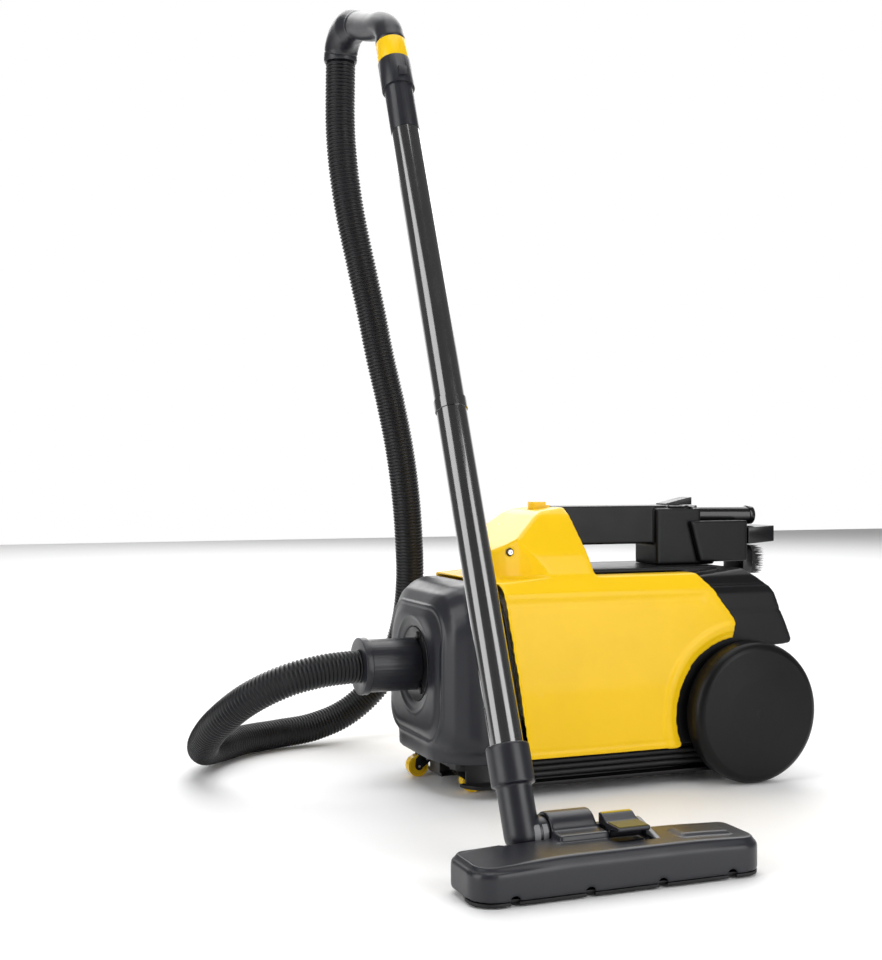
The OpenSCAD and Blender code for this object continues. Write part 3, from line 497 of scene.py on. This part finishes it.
def softened(name, node, voxel, passes, shape=None, slot_name=None, after=3):
    """A denser copy of a CAD node with rounded edges, in the node's place.

    shape(point, normal) moves its points in and out, and after is how often they are then calmed.
    """
    mesh = NODES[node].data.copy()
    bm = bmesh.new()
    bm.from_mesh(mesh)
    bmesh.ops.remove_doubles(bm, verts=bm.verts[:], dist=WELD_DISTANCE)
    bm.to_mesh(mesh)
    bm.free()
    rough = bpy.data.objects.new(name + "_rough", mesh)
    bpy.context.scene.collection.objects.link(rough)
    remesh = rough.modifiers.new("remesh", "REMESH")
    remesh.mode = "VOXEL"
    remesh.voxel_size = voxel
    calm = rough.modifiers.new("smooth", "SMOOTH")
    calm.factor = 0.5
    calm.iterations = passes
    dense = evaluated(rough)
    if shape:
        bm = bmesh.new()
        bm.from_mesh(dense)
        bm.normal_update()
        moves = [(v, v.normal * shape(v.co, v.normal)) for v in bm.verts]
        for v, move in moves:
            v.co += move
        for _ in range(after):
            bmesh.ops.smooth_vert(bm, verts=bm.verts[:], factor=0.25,
                                  use_axis_x=True, use_axis_y=True, use_axis_z=True)
        bm.to_mesh(dense)
        bm.free()
    bpy.data.objects.remove(rough)
    smooth(dense)
    piece = add_object(name, dense, slot_name or SLOT_OF[node], BODY_OF[node])
    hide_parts(node)
    return piece


def bevelled(node, width):
    """Rounds a CAD node's edges with modifiers only."""
    piece = NODES[node]
    weld = piece.modifiers.new("weld", "WELD")
    weld.merge_threshold = WELD_DISTANCE
    flat = piece.modifiers.new("flat", "DECIMATE")
    flat.decimate_type = "DISSOLVE"
    flat.angle_limit = math.radians(0.6)
    bevel = piece.modifiers.new("bevel", "BEVEL")
    bevel.width = width
    bevel.segments = 3
    bevel.limit_method = "ANGLE"
    bevel.angle_limit = math.radians(28)
    bevel.harden_normals = True
    smooth(piece.data)


# ---- hose ----

HOSE_ROUTE = [
    (0, -104.5, 146), (0, -148, 143), (-7, -192, 132), (-29, -230, 110), (-67, -256, 78),
    (-116, -262, 48), (-166, -251, 28), (-214, -221, 20.5), (-252, -179, 20), (-274, -129, 20),
    (-284, -77, 24), (-288, -29, 40), (-286, 11, 72), (-278, 39, 116), (-268, 52, 168),
    (-256, 54, 224), (-243, 48, 282), (-231, 39, 342), (-219, 26, 404), (-210, 10, 466),
    (-202, -8, 528), (-194, -24, 590), (-188, -40, 650), (-185, -55, 712), (-183, -65, 772),
    (-183.6, -69, 830), (-183.6, -68.5, 907.7)]
HOSE_STEPS = 24
HOSE_SPLIT = 9  # the route's point on the floor where the front piece meets the rear one
HOSE_D = 0.039
RIB_PITCH = 0.0046
RIB_DEPTH = 0.0019
STATIONS_PER_RIB = 6


def hose_radius(distance):
    """Rounded ribs with narrow valleys between them."""
    wave = 0.5 + 0.5 * math.cos(2 * math.pi * distance / RIB_PITCH)
    return HOSE_D / 2 - 0.0001 - RIB_DEPTH * (1 - wave ** 0.55)


def build_hose():
    line = spline([can(*p) for p in HOSE_ROUTE], HOSE_STEPS)
    split = HOSE_SPLIT * HOSE_STEPS
    meeting = (line[split + 1] - line[split - 1]).normalized()
    pieces = []
    for name, part, first, last in (("hose_front", line[:split + 1], (0, -1, 0), meeting),
                                    ("hose_rear", line[split:], meeting, (0, 0, 1))):
        part = even(part, RIB_PITCH / STATIONS_PER_RIB)
        mesh = tube_mesh(name, part, hose_radius, 28, first, last)
        smooth(mesh)
        piece = add_object(name, mesh, "hose_vinyl", None)
        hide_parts("hose")
        pieces.append(piece)
    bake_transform(pieces[0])
    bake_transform(pieces[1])


build_hose()

# ---- hose grip ----

GRIP_ROUTE = [
    (0, 0, 0), (-10, 0, 18), (-32, 0, 31), (-60, 0, 39), (-90, 0, 48), (-120, 0, 59),
    (-148, 0, 66), (-172, 0, 65), (-189, 0, 57), (-197, 0, 44), (-198, 0, 34)]
RING_TOP = 911.8
GRIP_R = 0.0170
GRIP_BORE_R = 0.0145


def build_hose_grip():
    foot = on_wand(0, 0, RING_TOP)
    line = even(spline([foot + Vector(p) / 1000 for p in GRIP_ROUTE], 12), 0.0012)
    total = line_length(line)

    def radius(distance):
        r = GRIP_R + 0.0008 * (1 - ease(distance, 0.002, 0.012))  # collar on the suction ring
        r += 0.0050 * ease(distance, total - 0.094, total - 0.062)  # swell into the hose socket
        r += 0.0009 * ridge(distance, total - 0.092, 0.004)
        r -= 0.0008 * ridge(distance, total - 0.012, 0.0016)
        r -= 0.0012 * ease(distance, total - 0.003, total)  # rounded ends
        r -= 0.0012 * (1 - ease(distance, 0, 0.0016))
        return r

    along_wand = (-math.sin(LEAN), 0, math.cos(LEAN))
    mesh = tube_mesh("hose_grip_shell", line, radius, 48, along_wand, (0, 0, -1), GRIP_BORE_R)
    smooth(mesh, 50)
    piece = add_object("hose_grip_shell", mesh, "charcoal_satin", "wand")
    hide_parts("hose_grip")


build_hose_grip()

# ---- canister shells ----

ARCH_Y, ARCH_Z = 345, 85
FLANK_X = 70  # points nearer the middle than this belong to the hood and the deck
INLET_Z = 146


def main_shell_shape(point, normal):
    """A shoulder band, a raised lip round the wheel arch and a groove along the sill."""
    p = local(point)
    if abs(p.x) < FLANK_X:
        return 0.0
    outward = normal.x * (1 if p.x > 0 else -1)
    from_arch = math.hypot(p.y - ARCH_Y, p.z - ARCH_Z)
    lip = ease(from_arch, 95, 96) * (1 - ease(from_arch, 106, 108))
    move = 1.8 * lip if p.z < 240 and p.y > 225 else 0.0
    band = ease(p.z, 217, 219) * (1 - ease(p.z, 226, 228)) * (1 - ease(p.y, 292, 300))
    move -= 1.1 * band * ease(outward, 0.2, 0.6)
    move -= 1.2 * ridge(p.z, 54, 2.4)
    return move * ease(outward, 0.3, 0.8) / 1000


def front_door_shape(point, normal):
    """A raised contour line set in from the door's edge, and a flatter field inside it."""
    p = local(point)
    if normal.y > 0.1 or p.y > 40:
        return 0.0
    half, top, foot, r = 84, 216, 62, 38
    dx = max(abs(p.x) - (half - r), 0)
    middle_z = (top + foot) / 2
    dz = max(abs(p.z - middle_z) - ((top - foot) / 2 - r), 0)
    rim = math.hypot(dx, dz) - r
    inside = 1 - ease(rim, -3, 0)
    lip = ridge(rim, 1.5, 3.2)
    clear = ease(math.hypot(p.x, p.z - INLET_Z), 57, 60)
    return (1.3 * lip - 1.0 * inside) * clear / 1000


def rear_housing_shape(point, normal):
    """Two creases that run round the flanks and the back."""
    p = local(point)
    side = ease(abs(normal.x), 0.3, 0.8) if abs(p.x) > FLANK_X else 0
    back = ease(normal.y, 0.4, 0.8)
    crease = ridge(p.z, 205, 2.6) + 0.7 * ridge(p.z, 236, 2.2)
    return -1.3 * crease * max(side, back) / 1000


def build_shells():
    softened("main_shell_skin", "main_shell", 0.0019, 14, main_shell_shape)
    softened("front_door_skin", "front_door", 0.0018, 26, front_door_shape)
    softened("rear_housing_skin", "rear_housing", 0.0019, 10, rear_housing_shape)
    softened("carry_grip_skin", "carry_grip", 0.0014, 10)
    softened("tool_caddy_skin", "tool_caddy", 0.0015, 8)
    bevelled("door_latch", 0.0016)
    for node in ("lower_housing", "inlet_ring", "hose_cuff", "power_switch", "switch_body",
                 "castor_fork_left", "castor_fork_right", "exhaust_grille"):
        bevelled(node, 0.0008)


build_shells()

SCREW_RING_R = 0.0042
SCREW_RING_WIRE_R = 0.0008


def build_screw_rings():
    """A thin dark ring round each of the hood's two screws."""
    low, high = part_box("shell_screws")
    y, z = (low[1] + high[1]) / 2, (low[2] + high[2]) / 2
    turn = [2 * math.pi * k / 32 for k in range(33)]
    for side, x in (("left", low[0] + 0.0022), ("right", high[0] - 0.0022)):
        line = [Vector((x, y + SCREW_RING_R * math.cos(a), z + SCREW_RING_R * math.sin(a)))
                for a in turn]
        mesh = tube_mesh("screw_ring", line, lambda distance: SCREW_RING_WIRE_R, 8)
        smooth(mesh)
        add_object("screw_ring_" + side, mesh, "inlet_black", "canister")


build_screw_rings()

# ---- mains lead, wound in the base's channel ----

LEAD_D = 0.0066
LEAD_R = 3.3
LEAD_GAP = 0.1
LEAD_PITCH = 6.8
LEAD_TOP = 41.1
LAYER_TURNS = 3
CHANNEL_FRONT, CHANNEL_REAR = 48, 371
CHANNEL_X = 68
CORNER_R = 22
CORNER_STATIONS = 5


def lead_station(turn, i):
    """Station i of a turn. The first layer runs down, and the outer one back up."""
    corner, k = divmod(i, CORNER_STATIONS)
    a = math.radians(90 + 90 * corner + 90 * k / (CORNER_STATIONS - 1))
    offset = LEAD_R + LEAD_GAP + (0 if turn < LAYER_TURNS else LEAD_PITCH)
    side = -1 if corner in (0, 1) else 1
    middle_y = CHANNEL_REAR - CORNER_R if corner in (0, 3) else CHANNEL_FRONT + CORNER_R
    u = turn + i / (4 * CORNER_STATIONS)
    height = LEAD_TOP - LEAD_PITCH * (u if u < LAYER_TURNS else 2 * LAYER_TURNS - u)
    return can(side * CHANNEL_X + (CORNER_R + offset) * math.cos(a),
               middle_y + (CORNER_R + offset) * math.sin(a), height)


def build_lead():
    points = [can(30, 369.2, LEAD_TOP), can(12, 373, LEAD_TOP), can(-12, 374.4, LEAD_TOP)]
    for turn in range(2 * LAYER_TURNS):
        points += [lead_station(turn, i) for i in range(4 * CORNER_STATIONS)]
    points += [can(-70, 381.2, LEAD_TOP - 0.2), can(-88, 375, LEAD_TOP - 0.3),
               can(-99.2, 360, LEAD_TOP - 0.4), can(-103, 320, 40), can(-108, 262, 38),
               can(-112.5, 210, 32), can(-114.5, 178, 26.8), can(-114.5, 154, 26)]
    line = even(points, 0.006)
    mesh = tube_mesh("mains_lead", line, lambda distance: LEAD_D / 2, 12,
                     (-0.96, 0.29, 0), (0, -1, 0))
    smooth(mesh)
    piece = add_object("mains_lead", mesh, "soft_rubber", "canister")
    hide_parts("power_cord")


build_lead()

# ---- floor head ----

TUFT_SIDES = 5
TUFT_R = 0.0007
TUFT_SPLAY = 0.08
BRUSH_ROWS_X = (-24, 22)
ROW_HALF = 115.5
ROW_TUFTS = 150
NECK_X, NECK_Z = -45, 38


def head_shape(point, normal):
    """A top that falls towards both ends, and a raised block over the far end."""
    p = head_local(point)
    top = ease(normal.z, 0.3, 0.8)
    fall = 7 * ease(-p.y, 45, 190) + 5 * ease(p.y, 60, 200)
    move = -fall * normal.z * ease(p.z, 20, 26)
    block = ease(p.y, 66, 70) * (1 - ease(p.y, 118, 122))
    block = block * ease(p.x, -14, -10) * (1 - ease(p.x, 12, 16))
    move += 3.0 * block * top
    return move / 1000


def cloth_shape(point, normal):
    """The uneven nap of the lint cloth."""
    return random.uniform(-0.12, 0.18) / 1000


def tufts(name, feet, direction, body, carriers=None):
    """Thin tapering bristles from each foot along the direction. carriers(bm) adds their strips."""
    bm = bmesh.new()
    direction = Vector(direction)
    across = direction.orthogonal().normalized()
    other = direction.cross(across).normalized()
    angles = [2 * math.pi * k / TUFT_SIDES for k in range(TUFT_SIDES)]
    for foot in feet:
        splay = across * random.uniform(-1, 1) + other * random.uniform(-1, 1)
        lean = splay * direction.length * TUFT_SPLAY
        tip = bm.verts.new(foot + direction * random.uniform(0.94, 1.0) + lean)
        ring = [bm.verts.new(foot + (across * math.cos(a) + other * math.sin(a)) * TUFT_R)
                for a in angles]
        for k in range(TUFT_SIDES):
            bm.faces.new((ring[k], ring[(k + 1) % TUFT_SIDES], tip))
        bm.faces.new(ring)
    if carriers:
        carriers(bm)
    outwards(bm)
    return add_object(name, finished(name, bm), "bristle", body)


def add_box(bm, low, high):
    """A box between two corners given in millimetres from the head's centre."""
    low, high = on_head(*low), on_head(*high)
    place = Matrix.Translation((low + high) / 2) @ Matrix.Diagonal((*(high - low), 1))
    bmesh.ops.create_cube(bm, size=1, matrix=place)


def oval_feet(low, high):
    """Feet of the dusting brush: five rings, each a little inside the last."""
    centre = (Vector(low) + Vector(high)) / 2
    feet = []
    for ring_index in range(5):
        shrink = 0.0012 + 0.0010 * ring_index
        half_x, half_z = (high[0] - low[0]) / 2 - shrink, (high[2] - low[2]) / 2 - shrink
        count = 84 - 6 * ring_index
        for k in range(count):
            a = 2 * math.pi * k / count
            curve = (abs(math.cos(a)) ** 4 + abs(math.sin(a)) ** 4) ** -0.25
            feet.append(Vector((centre.x + half_x * curve * math.cos(a) * 0.98, low[1] - 0.001,
                                centre.z + half_z * curve * math.sin(a) * 0.98)))
    return feet


def floor_carriers(bm):
    """The two strips that hold the floor brushes' rows, and the two ties between them."""
    near, far = BRUSH_ROWS_X
    for x in BRUSH_ROWS_X:
        add_box(bm, (x - 2.6, -117, 6.4), (x + 2.6, 117, 11))
    for y in (-80, 80):
        add_box(bm, (near, y - 4, 8), (far, y + 4, 11))


def build_bristles():
    """The dusting brush's oval of bristles and the floor head's two rows."""
    low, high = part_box("brush_bristles")
    reach = (0, high[1] - low[1] + 0.001, 0)
    brush = tufts("dusting_tufts", oval_feet(low, high), reach, "dusting_brush")
    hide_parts("brush_bristles")
    feet = [on_head(x + side, -ROW_HALF + 2 * ROW_HALF * i / (ROW_TUFTS - 1), 7)
            for x in BRUSH_ROWS_X for i in range(ROW_TUFTS) for side in (-0.6, 0.6)]
    rows = tufts("floor_tufts", feet, (0, 0, -0.0064), "floor_brushes", floor_carriers)
    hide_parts("floor_brushes")


def add_rounded(name, bm, round_off, slot_name, body):
    bmesh.ops.bevel(bm, geom=bm.edges[:], offset=round_off, segments=2, affect="EDGES")
    add_object(name, finished(name, bm), slot_name, body)


def build_pedal_panels():
    """The pedal's olive face and its yellow rear edge, and a grey gusset on the housing."""
    for name, low, high, slot_name in (
            ("pedal_face", (-19, 8.5, 48.6), (3, 39.5, 49.7), "pedal_olive"),
            ("pedal_edge", (-34, 8.5, 54.6), (-29.5, 39.5, 55.6), "pedal_yellow")):
        bm = bmesh.new()
        add_box(bm, low, high)
        add_rounded(name, bm, 0.0003, slot_name, "pedal")
    bm = bmesh.new()
    outline = [(12, 37), (-33, 37), (-33, 48.5), (-27, 48.5)]
    near, far = ([bm.verts.new(on_head(x, y, z)) for x, z in outline] for y in (43.6, 48.6))
    bm.faces.new(near)
    bm.faces.new(far)
    bridge(bm, near, far)
    outwards(bm)
    add_rounded("pedal_gusset", bm, 0.0006, "pale_grey", "canister")


def build_neck_highlights():
    """Two pale arcs of painted highlight wrapped round the front of the neck's leg."""
    inner, outer = 15.6, 16.5
    angles = [math.radians(-20 + 65 * k / 8) for k in range(9)]
    for name, y0, y1 in (("neck_highlight_near", -61, -55), ("neck_highlight_far", -52, -47)):
        bm = bmesh.new()
        corners = ((y0, inner), (y0, outer), (y1, outer), (y1, inner))
        rows = [[bm.verts.new(on_head(NECK_X + r * math.cos(a), y, NECK_Z + r * math.sin(a)))
                 for y, r in corners] for a in angles]
        for a, b in zip(rows, rows[1:]):
            bridge(bm, a, b)
        bm.faces.new(rows[0])
        bm.faces.new(rows[-1])
        outwards(bm)
        mesh = finished(name, bm)
        smooth(mesh, 40)
        # pale grey arcs on the lit front of the neck's barrel only: painted highlights, not a print
        # or a part
        add_object(name, mesh, "pale_grey", "wand")


def build_head():
    softened("head_shell_skin", "head_shell", 0.0016, 9, head_shape)
    softened("neck_elbow_skin", "neck_elbow", 0.0013, 8)
    softened("pedal_skin", "pedal", 0.001, 5, slot_name="charcoal_satin")
    softened("lint_nap", "lint_strips", 0.0007, 2, cloth_shape, after=0)
    build_bristles()
    build_pedal_panels()
    build_neck_highlights()
    for node in ("head_sole", "head_bumper", "handle_nose", "suction_ring"):
        bevelled(node, 0.0006)


build_head()

# ---- soft pieces ----


def bag_shape(point, normal):
    """Paper creases and shallow pleats along the bag's sides, all a little inside its outline."""
    p = local(point)
    pleats = math.sin(p.y * 0.19) * ease(abs(normal.x), 0.5, 0.9) * 2.2
    across = math.sin(p.x * 0.11 + 2.2 * math.sin(p.z * 0.07))
    creases = 1.6 * across * math.sin(p.z * 0.09 + p.y * 0.05)
    fold = -1.2 * ridge(p.x, 0, 5) * ease(abs(normal.z), 0.4, 0.8)
    return (pleats + creases + fold - 2.4) / 1000


def pad_shape(point, normal):
    """Shallow waves over a foam pad."""
    p = local(point)
    return (0.35 * math.sin(p.x * 0.31) * math.sin(p.z * 0.27) - 0.2) / 1000


def build_soft_pieces():
    bag = softened("dust_bag_paper", "dust_bag", 0.003, 12, bag_shape)
    for node in ("motor_filter", "exhaust_filter"):
        pad = softened(node + "_foam", node, 0.0016, 6, pad_shape)


build_soft_pieces()

COIL_TURNS = 5
COIL_STEPS = 28
COIL_R = 0.0044
COIL_WIRE_R = 0.0005


def build_spring():
    """The latch's coil spring, in place of its plain sleeve."""
    low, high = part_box("latch_spring")
    centre = middle("latch_spring")
    steps = COIL_TURNS * COIL_STEPS
    bottom, top = low[2] + 0.0006, high[2] - 0.0006
    line = []
    for k in range(steps + 1):
        a = 2 * math.pi * k / COIL_STEPS
        line.append(Vector((centre.x + COIL_R * math.cos(a), centre.y + COIL_R * math.sin(a),
                            bottom + (top - bottom) * k / steps)))
    mesh = tube_mesh("latch_coil", line, lambda distance: COIL_WIRE_R, 8)
    smooth(mesh)
    piece = add_object("latch_coil", mesh, "steel", "canister")
    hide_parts("latch_spring")


build_spring()

for tool in ("crevice_tool", "upholstery_nozzle", "dusting_brush"):
    bevelled(tool, 0.001)

# ---- stage ----

BACKDROP_SIDE = (-0.93, 0.367, 0)
ROOM_GLOW, BACKDROP_GLOW = 0.22, 1.0
FLOOR_HALF = 6
FLOOR_Z = -0.0004
LIGHT_TARGET = (100, 100, 350)
LIGHTS = (  # name, place from the target, width, height, watts
    ("strip_right", (2.15, 0.80, 0.55), 1.35, 2.8, 40),
    ("strip_left", (0.35, -2.25, 0.60), 1.4, 2.8, 36),
    ("top", (0.1, -0.1, 2.4), 1.6, 1.6, 18),
    ("back", (-3.2, 1.2, 3.4), 5.5, 5.5, 250))


def add_world():
    """A dim room with a bright white backdrop behind the machine."""
    world = bpy.data.worlds.new("studio")
    bpy.context.scene.world = world
    world.use_nodes = True
    nodes = world.node_tree.nodes
    links = world.node_tree.links
    coords = nodes.new("ShaderNodeTexCoord")
    facing = nodes.new("ShaderNodeVectorMath")
    facing.operation = "DOT_PRODUCT"
    facing.inputs[1].default_value = BACKDROP_SIDE
    links.new(coords.outputs["Generated"], facing.inputs[0])
    fade = nodes.new("ShaderNodeMapRange")
    fade.interpolation_type = "SMOOTHSTEP"
    set_range(fade, 0.64, 0.88, ROOM_GLOW, BACKDROP_GLOW)
    links.new(facing.outputs["Value"], fade.inputs["Value"])
    background = nodes["Background"]
    background.inputs["Color"].default_value = (1, 1, 1, 1)
    links.new(fade.outputs["Result"], background.inputs["Strength"])


def add_floor():
    mesh = bpy.data.meshes.new("floor")
    corners = [(-1, -1), (1, -1), (1, 1), (-1, 1)]
    mesh.from_pydata([(FLOOR_HALF * x, FLOOR_HALF * y, FLOOR_Z) for x, y in corners],
                     [], [(0, 1, 2, 3)])
    s = Shade("floor_pale")
    s.colour(s.blend(s.noise(2.5, 3), (0.89, 0.89, 0.893), (0.92, 0.92, 0.92)))
    s.roughness(s.remap(s.noise(30, 4), 0.2, 0.8, 0.55, 0.7))
    s.bumps((s.noise(60, 4), 0.0004, 0.1))
    floor = bpy.data.objects.new("floor", mesh)
    mesh.materials.append(s.material)
    bpy.context.scene.collection.objects.link(floor)


def add_lights():
    target = can(*LIGHT_TARGET)
    for name, place, width, height, power in LIGHTS:
        data = bpy.data.lights.new(name, "AREA")
        data.shape = "RECTANGLE"
        data.energy = power
        data.size = width
        data.size_y = height
        lamp = bpy.data.objects.new(name, data)
        bpy.context.scene.collection.objects.link(lamp)
        lamp.location = target + Vector(place)
        lamp.rotation_euler = (target - lamp.location).to_track_quat("-Z", "Y").to_euler()


add_floor()
add_world()
add_lights()
bpy.context.scene.view_settings.view_transform = "Standard"
bpy.context.scene.view_settings.look = "None"
